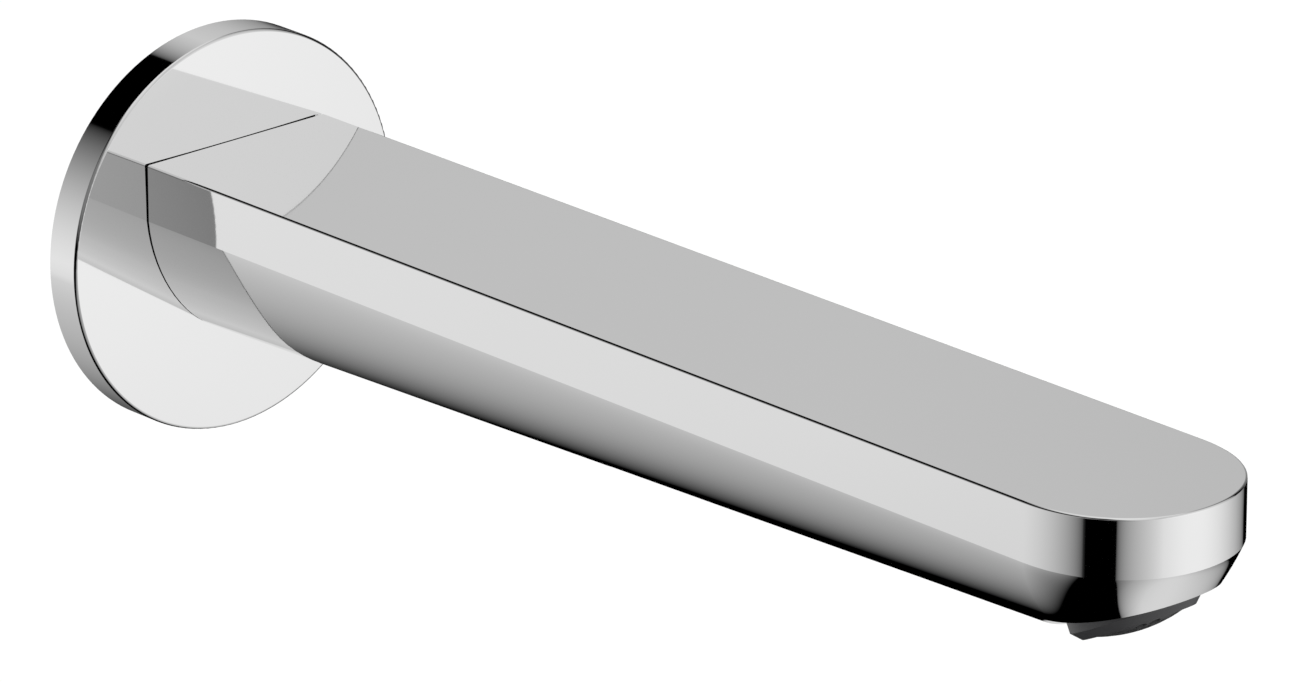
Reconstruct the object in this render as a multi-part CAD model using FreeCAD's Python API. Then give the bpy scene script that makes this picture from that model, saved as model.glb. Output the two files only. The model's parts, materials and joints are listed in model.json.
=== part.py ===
import FreeCAD, Part
import math
import os
from FreeCAD import Vector

# Wall-mounted bath spout with a round flange.
# The frame: the wall is the plane X = 0, the spout points along +X and Z is up.
# The axis of the thread is Y = Z = 0.
# All sizes are in millimetres.

# Flange
FLANGE_RADIUS = 35.0
FLANGE_THICKNESS = 7.2
FLANGE_DOME = 0.55
FLANGE_PLATE = 1.8
FLANGE_RIM_WALL = 1.8
FLANGE_EDGE_ROUND = 0.5
FLANGE_INNER_CHAMFER = 0.8
FLANGE_HOLE_RADIUS = 12.2
WALL_SEAL_WIDTH = 5.0
WALL_SEAL_GAP = 0.2

# Spout body, outside
SPOUT_REACH = 235.7
SPOUT_HALF_WIDTH = 19.5
SPOUT_TOP = 16.4
CREASE_HEIGHT = 6.4
CREASE_LEAN = 5.0
TOP_EDGE_ROUND = 0.35
BACK_GAP = 0.1
NOSE_LENGTH = 20.7
NOSE_FULLNESS = 0.58
NOSE_LOWER_FULLNESS = 0.70
BACK_BOTTOM = 17.0
BACK_SIDE_HANDLE = 12.2
BACK_BOTTOM_HANDLE = 9.0
NOSE_BOTTOM = 9.9
NOSE_SIDE_HANDLE = 5.6
NOSE_BOTTOM_HANDLE = 12.4
NOSE_TUCK_UPPER = 4.6
NOSE_TUCK_LOWER = 8.6
NOSE_TUCK_BOTTOM = 12.6
BELLY_STRIPS = 6
NOSE_PARTS = 5

# Outlet face under the nose
OUTLET_TILT = 16.7
OUTLET_SETBACK = 17.1
OUTLET_CENTRE_Z = -4.0
OUTLET_STEP_SETBACK = 26.3
OUTLET_STEP_ROUND = 4.0

# Spout body, inside
BODY_WALL = 2.8
CAVITY_START = 47.0
SOCKET_DEPTH = 35.0
SOCKET_LEAD = 1.0
WATERWAY_RADIUS = 7.0
BACK_SEAL_THICKNESS = 1.3
BACK_SEAL_WIDTH = 2.2
BACK_SEAL_INNER_RADIUS = 12.6

# Nipple
THREAD_RADIUS = 10.478
THREAD_LENGTH = 15.0
THREAD_CHAMFER = 1.2
THREAD_NECK_STEP = 0.3
COLLAR_RADIUS = 13.0
COLLAR_LENGTH = 3.0
COLLAR_WASHER_THICKNESS = 2.0
COLLAR_WASHER_WIDTH = 2.3
COLLAR_WASHER_CLEARANCE = 0.1
SPIGOT_RADIUS = 9.0
SPIGOT_CLEARANCE = 0.1
SPIGOT_END_GAP = 1.0
SPIGOT_END_CHAMFER = 0.8
NIPPLE_BORE_RADIUS = 5.5
NIPPLE_KEY_WIDTH = 12.0
NIPPLE_KEY_DEPTH = 10.0
O_RING_SECTION = 1.7
O_RING_GROOVE_DEPTH = 1.6
O_RING_GROOVE_WIDTH = 2.2
O_RING_SIDES = 10
O_RING_SETBACK = 5.3
O_RING_SPACING = 7.0
CENTRING_RING_CLEARANCE = 0.1

# Locking screw from below
SCREW_X = 17.0
SCREW_RADIUS = 2.5
SCREW_LENGTH = 6.0
SCREW_CONE = 1.2
SCREW_KEY_WIDTH = 2.5
SCREW_KEY_DEPTH = 3.0
SCREW_NECK_DEPTH = 0.9
SCREW_NECK_PLAY = 0.4
SCREW_CLEARANCE = 0.05
PLUG_THICKNESS = 1.4
PLUG_INSET = 0.3

# Aerator, along its own axis from the outlet face
AERATOR_TILT = 27.0
AERATOR_SETBACK = 16.3
AERATOR_CENTRE_Z = -3.8
AERATOR_RADIUS = 9.6
AERATOR_RIM_RADIUS = 10.7
AERATOR_FOOT_CHAMFER = 1.5
AERATOR_PROUD = 3.5
AERATOR_SUNK = 2.3
AERATOR_BORE = 8.1
AERATOR_LIP = 7.7
AERATOR_LIP_HEIGHT = 1.2
AERATOR_CLEARANCE = 0.1
AERATOR_SEAL_THICKNESS = 1.6
AERATOR_PASSAGE_RADIUS = 7.3
AERATOR_BOSS_WALL = 2.4
AERATOR_BOSS_ROOF = 2.2
GRID_THICKNESS = 1.5
GRID_DOME = 1.3
GRID_CELL = 2.3
GRID_WEB = 0.45
MESH_THICKNESS = 0.4
MESH_CELL = 1.5
MESH_WIRE = 0.5
MESH_SPACING = 1.4
MIXER_HEIGHT = 3.4
MIXER_WALL = 1.5
MIXER_SLOT_COUNT = 12
MIXER_SLOT_WIDTH = 1.2
JET_PLATE_THICKNESS = 1.6
JET_HOLE_RADIUS = 0.45
JET_OUTER_COUNT = 12
JET_OUTER_CIRCLE = 5.6
JET_INNER_COUNT = 6
JET_INNER_CIRCLE = 3.0
REGULATOR_HEIGHT = 3.2
REGULATOR_WALL = 1.1
REGULATOR_FLOOR = 0.9
REGULATOR_PORT_COUNT = 8
REGULATOR_PORT_RADIUS = 0.9
STAR_RADIUS = 2.6
STAR_HEIGHT = 1.9
STAR_NOTCH_COUNT = 6
STAR_NOTCH_RADIUS = 0.5
STAR_GAP = 0.25
REGULATOR_RING_SECTION = 1.5
FILTER_RIM_HEIGHT = 0.8
FILTER_CONE_HEIGHT = 3.0
FILTER_TOP_SHARE = 0.45
FILTER_WALL = 0.5
FILTER_PLAY = 0.2
FILTER_SLOT_COUNT = 10
FILTER_SLOT_WIDTH = 0.8
FILTER_SLOT_START = 0.35
FILTER_SLOT_END = 0.92
FILTER_SLOT_LIFT = 0.3
STACK_GAP = 0.05

# How far a cutting shape runs past the face that it opens, and how close two places count as one
CUT_OVERRUN = 1.0
SAME_PLACE = 0.01

X_AXIS = Vector(1, 0, 0)
Y_AXIS = Vector(0, 1, 0)
Z_AXIS = Vector(0, 0, 1)
ORIGIN = Vector(0, 0, 0)

# Places that follow from the sizes above
SPOUT_BACK = FLANGE_THICKNESS + BACK_GAP
NOSE_START = SPOUT_REACH - NOSE_LENGTH
OUTLET_CENTRE_X = SPOUT_REACH - OUTLET_SETBACK
OUTLET_STEP_X = SPOUT_REACH - OUTLET_STEP_SETBACK
AERATOR_CENTRE_X = SPOUT_REACH - AERATOR_SETBACK
PLATE_BACK = FLANGE_THICKNESS - FLANGE_PLATE
COLLAR_FRONT = COLLAR_WASHER_THICKNESS + COLLAR_LENGTH
NECK_RADIUS = THREAD_RADIUS - THREAD_NECK_STEP
SOCKET_RADIUS = SPIGOT_RADIUS + SPIGOT_CLEARANCE
SOCKET_END = SPOUT_BACK + SOCKET_DEPTH
SPIGOT_END = SOCKET_END - SPIGOT_END_GAP
O_RING_FRONT_X = SPIGOT_END - O_RING_SETBACK
SCREW_TIP_Z = -(SPIGOT_RADIUS - SCREW_NECK_DEPTH) - SCREW_CLEARANCE
SCREW_BOTTOM_Z = SCREW_TIP_Z - SCREW_LENGTH
GRID_BOTTOM = AERATOR_LIP_HEIGHT - AERATOR_PROUD
MESH_STACK = 2 * MESH_THICKNESS + MESH_SPACING
STACK_HEIGHT = GRID_THICKNESS + MESH_STACK + MIXER_HEIGHT + JET_PLATE_THICKNESS + REGULATOR_HEIGHT
AERATOR_HEIGHT = GRID_BOTTOM + STACK_HEIGHT + FILTER_RIM_HEIGHT
SEAT_DEPTH = AERATOR_HEIGHT + AERATOR_SEAL_THICKNESS
SEAT_RADIUS = AERATOR_RADIUS + AERATOR_CLEARANCE
OUTLET_SLOPE = math.tan(math.radians(OUTLET_TILT))


def mix(first, second, share):
    return first + (second - first) * share


def rod_x(radius, start, end):
    return Part.makeCylinder(radius, end - start, Vector(start, 0, 0), X_AXIS)


def ring_x(outer, inner, start, end):
    return rod_x(outer, start, end).cut(rod_x(inner, start, end))


def rod_z(radius, start, end, x=0.0, y=0.0):
    return Part.makeCylinder(radius, end - start, Vector(x, y, start), Z_AXIS)


def ring_z(outer, inner, start, end):
    return rod_z(outer, start, end).cut(rod_z(inner, start, end))


def turned(points, centre, axis):
    wire = Part.makePolygon(points + [points[0]])
    return Part.Face(wire).revolve(centre, axis, 360)


def hexagon_prism(width, base, direction, length, spin=0.0):
    radius = width / math.sqrt(3)
    normal = direction.normalize()
    side = Vector(0, 1, 0) if abs(normal.y) < 0.5 else Vector(1, 0, 0)
    other = normal.cross(side)
    corners = []
    for index in range(7):
        angle = math.radians(60 * index + spin)
        corners.append(base + side * (radius * math.cos(angle)) + other * (radius * math.sin(angle)))
    return Part.Face(Part.makePolygon(corners)).extrude(normal * length)


def curve_parts(poles, parts):
    # A smooth curve over its poles, in equal parts.
    edges = []
    for index in range(parts):
        line = Part.BezierCurve()
        line.setPoles(poles)
        line.segment(index / parts, (index + 1) / parts)
        edges.append(line.toShape())
    return edges


def patch(rows, parts):
    # A smooth surface over a net of poles, in narrow strips along the spout
    # and in equal parts round the nose.
    surface = Part.BezierSurface()
    surface.increase(len(rows) - 1, len(rows[0]) - 1)
    for row_index, row in enumerate(rows):
        for column_index, pole in enumerate(row):
            surface.setPole(row_index + 1, column_index + 1, pole)
    fields = []
    for part in range(parts):
        for strip in range(BELLY_STRIPS):
            field = surface.copy()
            across = (strip / BELLY_STRIPS, (strip + 1) / BELLY_STRIPS)
            field.segment(part / parts, (part + 1) / parts, *across)
            fields.append(field.toShape())
    return fields


def edges_at(shape, x):
    # The edges that lie wholly in one plane across the spout.
    found = []
    for edge in shape.Edges:
        box = edge.BoundBox
        if box.XMin > x - SAME_PLACE and box.XMax < x + SAME_PLACE:
            found.append(edge)
    return found


def belly_poles(x, inset):
    # The underside at one place along the spout: a cubic curve from the crease to the bottom line.
    share = (x - SPOUT_BACK) / (NOSE_START - SPOUT_BACK)
    half = SPOUT_HALF_WIDTH - inset
    bottom = inset - mix(BACK_BOTTOM, NOSE_BOTTOM, share)
    side_drop = mix(BACK_SIDE_HANDLE, NOSE_SIDE_HANDLE, share)
    handle = mix(BACK_BOTTOM_HANDLE, NOSE_BOTTOM_HANDLE, share)
    lean = side_drop * math.tan(math.radians(CREASE_LEAN))
    return [
        (half, CREASE_HEIGHT),
        (half - lean, CREASE_HEIGHT - side_drop),
        (handle, bottom),
        (0.0, bottom),
    ]


def nose_rows(inset):
    # The net of poles of the nose underside: from the side (first row) round to the tip (last row).
    tucks = [0.0, NOSE_TUCK_UPPER, NOSE_TUCK_LOWER, NOSE_TUCK_BOTTOM]
    fullness = [NOSE_FULLNESS, NOSE_LOWER_FULLNESS, NOSE_LOWER_FULLNESS, NOSE_LOWER_FULLNESS]
    rows = [[], [], [], []]
    for (y, z), tuck, full in zip(belly_poles(NOSE_START, inset), tucks, fullness):
        tip = SPOUT_REACH - inset - tuck
        rows[0].append(Vector(NOSE_START, y, z))
        rows[1].append(Vector(mix(NOSE_START, tip, full), y, z))
        rows[2].append(Vector(tip, y * full, z))
        rows[3].append(Vector(tip, 0, z))
    return rows


def bar_rows(x_start, inset):
    # Two rows of poles for the straight length, which runs in straight lines from the back to the nose.
    rows = []
    for x in (x_start, NOSE_START):
        rows.append([Vector(x, y, z) for y, z in belly_poles(x, inset)])
    return rows


def envelope(x_start, inset=0.0):
    # The closed outer form of the spout, or the same form drawn in by an inset.
    top = SPOUT_TOP - inset
    half = SPOUT_HALF_WIDTH - inset
    rise = Vector(0, 0, top - CREASE_HEIGHT)
    rows = nose_rows(inset)
    crease = curve_parts([row[0] for row in rows], NOSE_PARTS)
    bar_start = Vector(x_start, half, CREASE_HEIGHT)
    bar_end = Vector(NOSE_START, half, CREASE_HEIGHT)
    crease.append(Part.makeLine(bar_start, bar_end))
    right = patch(rows, NOSE_PARTS) + patch(bar_rows(x_start, inset), 1)
    right += [edge.extrude(rise) for edge in crease]
    left = [face.mirror(ORIGIN, Y_AXIS) for face in right]

    top_edges = [edge.translated(rise) for edge in crease]
    top_edges += [edge.mirror(ORIGIN, Y_AXIS) for edge in top_edges]
    top_edges.append(Part.makeLine(Vector(x_start, half, top), Vector(x_start, -half, top)))
    top_face = Part.Face(Part.Wire(Part.__sortEdges__(top_edges)))

    back_edges = edges_at(Part.Compound(right + left), x_start) + [top_edges[-1]]
    back_face = Part.Face(Part.Wire(Part.__sortEdges__(back_edges)))

    shell = Part.Compound(right + left + [top_face, back_face])
    shell.sewShape()
    solid = Part.Solid(Part.Shell(shell.Faces))
    if solid.Volume < 0:
        solid.reverse()
    return solid


def outlet_plane_z(x):
    return OUTLET_CENTRE_Z + (x - OUTLET_CENTRE_X) * OUTLET_SLOPE


def below_outlet(offset=0.0):
    # The space under the outlet face: the slanting plane, a round and a steep step behind it.
    lift = offset / math.cos(math.radians(OUTLET_TILT))
    step_x = OUTLET_STEP_X - offset
    far_x = SPOUT_REACH + BODY_WALL
    deep_z = -2 * BACK_BOTTOM
    wide = 2 * SPOUT_HALF_WIDTH
    corners = [
        Vector(step_x, -wide / 2, deep_z),
        Vector(step_x, -wide / 2, outlet_plane_z(step_x) + lift),
        Vector(far_x, -wide / 2, outlet_plane_z(far_x) + lift),
        Vector(far_x, -wide / 2, deep_z),
    ]
    block = Part.Face(Part.makePolygon(corners + [corners[0]])).extrude(Vector(0, wide, 0))
    inner_edge = [edge for edge in block.Edges if edge.CenterOfMass.distanceToPoint(
        Vector(step_x, 0, corners[1].z)) < SAME_PLACE]
    return block.makeFillet(OUTLET_STEP_ROUND + offset, inner_edge)


def on_outlet(shape):
    # Shapes of the aerator are drawn upright from the outlet face and set on it here.
    placed = shape.copy()
    placed.rotate(ORIGIN, Y_AXIS, -AERATOR_TILT)
    placed.translate(Vector(AERATOR_CENTRE_X, 0, AERATOR_CENTRE_Z))
    return placed


def hollow():
    # The water chamber keeps the body's wall all round and leaves the boss of the aerator standing.
    room = envelope(CAVITY_START, BODY_WALL)
    room = room.cut(below_outlet(BODY_WALL))
    boss_top = SEAT_DEPTH + AERATOR_BOSS_ROOF
    boss = on_outlet(rod_z(SEAT_RADIUS + AERATOR_BOSS_WALL, -BODY_WALL, boss_top))
    return room.cut(boss)


def outlet_seat():
    rim = rod_z(AERATOR_RIM_RADIUS + AERATOR_CLEARANCE, -BODY_WALL, AERATOR_SUNK)
    bore = rod_z(SEAT_RADIUS, -BODY_WALL, SEAT_DEPTH)
    passage = rod_z(AERATOR_PASSAGE_RADIUS, 0, SEAT_DEPTH + AERATOR_BOSS_ROOF + CUT_OVERRUN)
    return on_outlet(rim.fuse(bore).fuse(passage))


def screw_hole():
    bottom = -(BACK_BOTTOM + SPOUT_HALF_WIDTH)
    return rod_z(SCREW_RADIUS + SCREW_CLEARANCE, bottom, -SPIGOT_RADIUS / 2, SCREW_X)


def spout_body():
    body = envelope(SPOUT_BACK)
    body = body.cut(below_outlet())
    top_edges = []
    for edge in body.Edges:
        box = edge.BoundBox
        if box.ZMin > SPOUT_TOP - SAME_PLACE and box.XMax > SPOUT_BACK + SAME_PLACE:
            top_edges.append(edge)
    body = body.makeFillet(TOP_EDGE_ROUND, top_edges)
    socket = rod_x(SOCKET_RADIUS, SPOUT_BACK, SOCKET_END)
    lead_radius = SOCKET_RADIUS + SOCKET_LEAD
    lead = Part.makeCone(lead_radius, SOCKET_RADIUS, SOCKET_LEAD, Vector(SPOUT_BACK, 0, 0), X_AXIS)
    waterway = rod_x(WATERWAY_RADIUS, SOCKET_END - CUT_OVERRUN, CAVITY_START + CUT_OVERRUN)
    seal_outer = BACK_SEAL_INNER_RADIUS + BACK_SEAL_WIDTH
    groove_depth = BACK_SEAL_THICKNESS - BACK_GAP
    groove = ring_x(seal_outer, BACK_SEAL_INNER_RADIUS, SPOUT_BACK, SPOUT_BACK + groove_depth)
    for tool in (hollow(), socket, lead, waterway, groove, screw_hole(), outlet_seat()):
        body = body.cut(tool)
    return body


def wall_flange():
    # A turned cup. Its face is slightly domed: it falls from the middle to a rounded edge.
    rim_face = FLANGE_THICKNESS - FLANGE_DOME
    face_radius = FLANGE_RADIUS - FLANGE_EDGE_ROUND
    ball_radius = (face_radius ** 2 + FLANGE_DOME ** 2) / (2 * FLANGE_DOME)
    dome_middle = face_radius / 2
    dome_drop = ball_radius - math.sqrt(ball_radius ** 2 - dome_middle ** 2)
    round_share = FLANGE_EDGE_ROUND * (1 - math.sqrt(0.5))
    edge_start = Vector(rim_face - FLANGE_EDGE_ROUND, 0, FLANGE_RADIUS)
    edge_middle = Vector(rim_face - round_share, 0, FLANGE_RADIUS - round_share)
    edge_end = Vector(rim_face, 0, face_radius)
    inner_radius = FLANGE_RADIUS - FLANGE_RIM_WALL
    straight = Part.makePolygon([
        Vector(FLANGE_THICKNESS, 0, 0),
        Vector(PLATE_BACK, 0, 0),
        Vector(PLATE_BACK, 0, inner_radius - FLANGE_INNER_CHAMFER),
        Vector(PLATE_BACK - FLANGE_INNER_CHAMFER, 0, inner_radius),
        Vector(0, 0, inner_radius),
        Vector(0, 0, FLANGE_RADIUS),
        edge_start,
    ])
    rounding = Part.Arc(edge_start, edge_middle, edge_end).toShape()
    dome_point = Vector(FLANGE_THICKNESS - dome_drop, 0, dome_middle)
    dome = Part.Arc(edge_end, dome_point, Vector(FLANGE_THICKNESS, 0, 0)).toShape()
    outline = Part.Wire(Part.__sortEdges__(straight.Edges + [rounding, dome]))
    cup = Part.Face(outline).revolve(ORIGIN, X_AXIS, 360)
    return cup.cut(rod_x(FLANGE_HOLE_RADIUS, 0, FLANGE_THICKNESS))


def flange_wall_seal():
    outer = FLANGE_RADIUS - FLANGE_RIM_WALL - WALL_SEAL_GAP - FLANGE_INNER_CHAMFER
    return ring_x(outer, outer - WALL_SEAL_WIDTH, 0, PLATE_BACK)


def spout_back_seal():
    outer = BACK_SEAL_INNER_RADIUS + BACK_SEAL_WIDTH
    return ring_x(outer, BACK_SEAL_INNER_RADIUS, FLANGE_THICKNESS, FLANGE_THICKNESS + BACK_SEAL_THICKNESS)


def flange_centring_ring():
    outer = FLANGE_HOLE_RADIUS - CENTRING_RING_CLEARANCE
    inner = SPIGOT_RADIUS + CENTRING_RING_CLEARANCE
    sleeve = ring_x(outer, inner, COLLAR_FRONT, FLANGE_THICKNESS)
    return sleeve


def wall_nipple():
    # One turned piece: thread for the wall fitting, neck for the washer, collar and spigot for the spout.
    profile = [
        Vector(-THREAD_LENGTH, 0, NIPPLE_BORE_RADIUS),
        Vector(-THREAD_LENGTH, 0, THREAD_RADIUS - THREAD_CHAMFER),
        Vector(-THREAD_LENGTH + THREAD_CHAMFER, 0, THREAD_RADIUS),
        Vector(0, 0, THREAD_RADIUS),
        Vector(0, 0, NECK_RADIUS),
        Vector(COLLAR_WASHER_THICKNESS, 0, NECK_RADIUS),
        Vector(COLLAR_WASHER_THICKNESS, 0, COLLAR_RADIUS),
        Vector(COLLAR_FRONT, 0, COLLAR_RADIUS),
        Vector(COLLAR_FRONT, 0, SPIGOT_RADIUS),
        Vector(SPIGOT_END - SPIGOT_END_CHAMFER, 0, SPIGOT_RADIUS),
        Vector(SPIGOT_END, 0, SPIGOT_RADIUS - SPIGOT_END_CHAMFER),
        Vector(SPIGOT_END, 0, NIPPLE_BORE_RADIUS),
    ]
    nipple = turned(profile, ORIGIN, X_AXIS)
    for groove_x in o_ring_places():
        start = groove_x - O_RING_GROOVE_WIDTH / 2
        floor = SPIGOT_RADIUS - O_RING_GROOVE_DEPTH
        nipple = nipple.cut(ring_x(SPIGOT_RADIUS + CUT_OVERRUN, floor, start, start + O_RING_GROOVE_WIDTH))
    neck_width = 2 * SCREW_RADIUS + SCREW_NECK_PLAY
    neck_start = SCREW_X - neck_width / 2
    neck_floor = SPIGOT_RADIUS - SCREW_NECK_DEPTH
    nipple = nipple.cut(ring_x(SPIGOT_RADIUS + CUT_OVERRUN, neck_floor, neck_start, neck_start + neck_width))
    key_base = Vector(SPIGOT_END - NIPPLE_KEY_DEPTH, 0, 0)
    return nipple.cut(hexagon_prism(NIPPLE_KEY_WIDTH, key_base, Vector(1, 0, 0), NIPPLE_KEY_DEPTH))


def o_ring_places():
    return [O_RING_FRONT_X, O_RING_FRONT_X - O_RING_SPACING]


def ring_section(middle, along, section):
    # The round section of an elastic ring, drawn as a polygon with flat sides.
    points = []
    for index in range(O_RING_SIDES):
        angle = 2 * math.pi * (index + 0.5) / O_RING_SIDES
        points.append((middle + section * math.cos(angle), along + section * math.sin(angle)))
    return points


def nipple_o_ring(place):
    section = O_RING_SECTION / 2
    middle = SPIGOT_RADIUS - O_RING_GROOVE_DEPTH + (O_RING_GROOVE_DEPTH + SPIGOT_CLEARANCE) / 2
    points = [Vector(along, 0, radius) for radius, along in ring_section(middle, place, section)]
    return turned(points, ORIGIN, X_AXIS)


def nipple_collar_washer():
    inner = NECK_RADIUS + COLLAR_WASHER_CLEARANCE
    return ring_x(inner + COLLAR_WASHER_WIDTH, inner, 0, COLLAR_WASHER_THICKNESS)


def locking_screw():
    shank_top = SCREW_TIP_Z - SCREW_CONE
    shank = rod_z(SCREW_RADIUS, SCREW_BOTTOM_Z, shank_top, SCREW_X)
    cone_radius = SCREW_RADIUS - SCREW_CONE
    cone = Part.makeCone(SCREW_RADIUS, cone_radius, SCREW_CONE, Vector(SCREW_X, 0, shank_top), Z_AXIS)
    key_base = Vector(SCREW_X, 0, SCREW_BOTTOM_Z)
    key = hexagon_prism(SCREW_KEY_WIDTH, key_base, Vector(0, 0, 1), SCREW_KEY_DEPTH)
    return shank.fuse(cone).cut(key)


def body_bottom_at(x):
    return -mix(BACK_BOTTOM, NOSE_BOTTOM, (x - SPOUT_BACK) / (NOSE_START - SPOUT_BACK))


def screw_plug():
    low = body_bottom_at(SCREW_X) + PLUG_INSET
    return rod_z(SCREW_RADIUS, low, low + PLUG_THICKNESS, SCREW_X)


def aerator_levels():
    # The heights of the pieces stacked in the aerator, from the outlet upward.
    levels = {}
    height = GRID_BOTTOM
    stack = (
        ("outlet_grid", GRID_THICKNESS),
        ("lower_mesh", MESH_THICKNESS),
        ("mesh_spacer", MESH_SPACING),
        ("upper_mesh", MESH_THICKNESS),
        ("mixing_ring", MIXER_HEIGHT),
        ("jet_plate", JET_PLATE_THICKNESS),
        ("flow_regulator", REGULATOR_HEIGHT),
        ("aerator_filter", FILTER_RIM_HEIGHT),
    )
    for name, thickness in stack:
        levels[name] = (height, height + thickness)
        height += thickness
    return levels


def aerator_housing():
    rim_top = AERATOR_SUNK - AERATOR_CLEARANCE
    foot = -AERATOR_PROUD
    profile = [
        Vector(AERATOR_LIP, 0, foot),
        Vector(AERATOR_RIM_RADIUS - AERATOR_FOOT_CHAMFER, 0, foot),
        Vector(AERATOR_RIM_RADIUS, 0, foot + AERATOR_FOOT_CHAMFER),
        Vector(AERATOR_RIM_RADIUS, 0, rim_top),
        Vector(AERATOR_RADIUS, 0, rim_top),
        Vector(AERATOR_RADIUS, 0, AERATOR_HEIGHT),
        Vector(AERATOR_BORE, 0, AERATOR_HEIGHT),
        Vector(AERATOR_BORE, 0, GRID_BOTTOM),
        Vector(AERATOR_LIP, 0, GRID_BOTTOM),
    ]
    return turned(profile, ORIGIN, Z_AXIS)


def hexagon_places(pitch, reach):
    places = []
    count = int(reach / pitch) + 1
    for row in range(-count, count + 1):
        for column in range(-count, count + 1):
            x = pitch * (column + row / 2.0)
            y = pitch * row * math.sqrt(3) / 2
            if math.hypot(x, y) < reach - pitch / 2:
                places.append((x, y))
    return places


def outlet_grid():
    # A round plate with a shallow dome that bulges out through the ring, cut into a honeycomb.
    low, high = aerator_levels()["outlet_grid"]
    dome_radius = AERATOR_LIP - STACK_GAP
    ball_radius = (dome_radius ** 2 + GRID_DOME ** 2) / (2 * GRID_DOME)
    bottom = -AERATOR_PROUD - GRID_DOME
    ball = Part.makeSphere(ball_radius, Vector(0, 0, bottom + ball_radius))
    dome = ball.common(rod_z(dome_radius, bottom, low))
    grid = rod_z(AERATOR_BORE - STACK_GAP, low, high).fuse(dome)
    cells = []
    for x, y in hexagon_places(GRID_CELL, AERATOR_LIP - GRID_WEB):
        corner = Vector(x, y, bottom)
        cells.append(hexagon_prism(GRID_CELL - GRID_WEB, corner, Vector(0, 0, 1), high - bottom, 30))
    return grid.cut(Part.Compound(cells))


def mesh_disc(name):
    low, high = aerator_levels()[name]
    disc = rod_z(AERATOR_BORE - STACK_GAP, low, high)
    opening = MESH_CELL - MESH_WIRE
    count = int(AERATOR_LIP / MESH_CELL)
    cells = []
    for row in range(-count, count + 1):
        for column in range(-count, count + 1):
            x = column * MESH_CELL
            y = row * MESH_CELL
            if math.hypot(x, y) < AERATOR_LIP - opening:
                corner = Vector(x - opening / 2, y - opening / 2, low)
                cells.append(Part.makeBox(opening, opening, high - low, corner))
    return disc.cut(Part.Compound(cells))


def mesh_spacer():
    low, high = aerator_levels()["mesh_spacer"]
    return ring_z(AERATOR_BORE - STACK_GAP, AERATOR_LIP, low, high)


def mixing_ring():
    low, high = aerator_levels()["mixing_ring"]
    outer = AERATOR_BORE - STACK_GAP
    ring = ring_z(outer, outer - MIXER_WALL, low, high)
    slot_height = (high - low) / 2
    for index in range(MIXER_SLOT_COUNT):
        slot = Part.makeBox(outer, MIXER_SLOT_WIDTH, slot_height, Vector(0, -MIXER_SLOT_WIDTH / 2, low))
        slot.rotate(ORIGIN, Z_AXIS, index * 360.0 / MIXER_SLOT_COUNT)
        ring = ring.cut(slot)
    return ring


def hole_circle(count, circle, radius, low, high):
    holes = []
    for index in range(count):
        angle = 2 * math.pi * index / count
        holes.append(rod_z(radius, low, high, circle * math.cos(angle), circle * math.sin(angle)))
    return holes


def jet_plate():
    low, high = aerator_levels()["jet_plate"]
    plate = rod_z(AERATOR_BORE - STACK_GAP, low, high)
    holes = hole_circle(JET_OUTER_COUNT, JET_OUTER_CIRCLE, JET_HOLE_RADIUS, low, high)
    holes += hole_circle(JET_INNER_COUNT, JET_INNER_CIRCLE, JET_HOLE_RADIUS, low, high)
    return plate.cut(Part.Compound(holes))


def regulator_inner_radius():
    return AERATOR_BORE - STACK_GAP - REGULATOR_WALL


def flow_regulator():
    low, high = aerator_levels()["flow_regulator"]
    floor_top = low + REGULATOR_FLOOR
    cup = rod_z(AERATOR_BORE - STACK_GAP, low, high)
    cup = cup.cut(rod_z(regulator_inner_radius(), floor_top, high))
    port_circle = STAR_RADIUS + STAR_GAP + REGULATOR_RING_SECTION / 2
    ports = hole_circle(REGULATOR_PORT_COUNT, port_circle, REGULATOR_PORT_RADIUS, low, floor_top)
    return cup.cut(Part.Compound(ports))


def regulator_star():
    low = aerator_levels()["flow_regulator"][0] + REGULATOR_FLOOR
    high = low + STAR_HEIGHT
    star = rod_z(STAR_RADIUS, low, high)
    notches = hole_circle(STAR_NOTCH_COUNT, STAR_RADIUS, STAR_NOTCH_RADIUS, low, high)
    return star.cut(Part.Compound(notches))


def regulator_o_ring():
    section = REGULATOR_RING_SECTION / 2
    floor_top = aerator_levels()["flow_regulator"][0] + REGULATOR_FLOOR
    middle = STAR_RADIUS + STAR_GAP + section
    points = [Vector(radius, 0, along) for radius, along in ring_section(middle, floor_top + section, section)]
    return turned(points, ORIGIN, Z_AXIS)


def aerator_seal():
    inner = AERATOR_BORE
    return ring_z(AERATOR_RADIUS, inner, AERATOR_HEIGHT, SEAT_DEPTH)


def aerator_filter():
    low, high = aerator_levels()["aerator_filter"]
    radius = AERATOR_PASSAGE_RADIUS - FILTER_PLAY
    top_radius = radius * FILTER_TOP_SHARE
    top = high + FILTER_CONE_HEIGHT
    rim = ring_z(AERATOR_BORE - STACK_GAP, radius - FILTER_WALL, low, high)
    cone = Part.makeCone(radius, top_radius, FILTER_CONE_HEIGHT, Vector(0, 0, high), Z_AXIS)
    room_height = FILTER_CONE_HEIGHT - FILTER_WALL
    room = Part.makeCone(radius - FILTER_WALL, top_radius, room_height, Vector(0, 0, high), Z_AXIS)
    strainer = rim.fuse(cone.cut(room))
    slot_length = radius * (FILTER_SLOT_END - FILTER_SLOT_START)
    for index in range(FILTER_SLOT_COUNT):
        corner = Vector(radius * FILTER_SLOT_START, -FILTER_SLOT_WIDTH / 2, high + FILTER_SLOT_LIFT)
        slot = Part.makeBox(slot_length, FILTER_SLOT_WIDTH, top - high, corner)
        slot.rotate(ORIGIN, Z_AXIS, index * 360.0 / FILTER_SLOT_COUNT)
        strainer = strainer.cut(slot)
    return strainer


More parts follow.
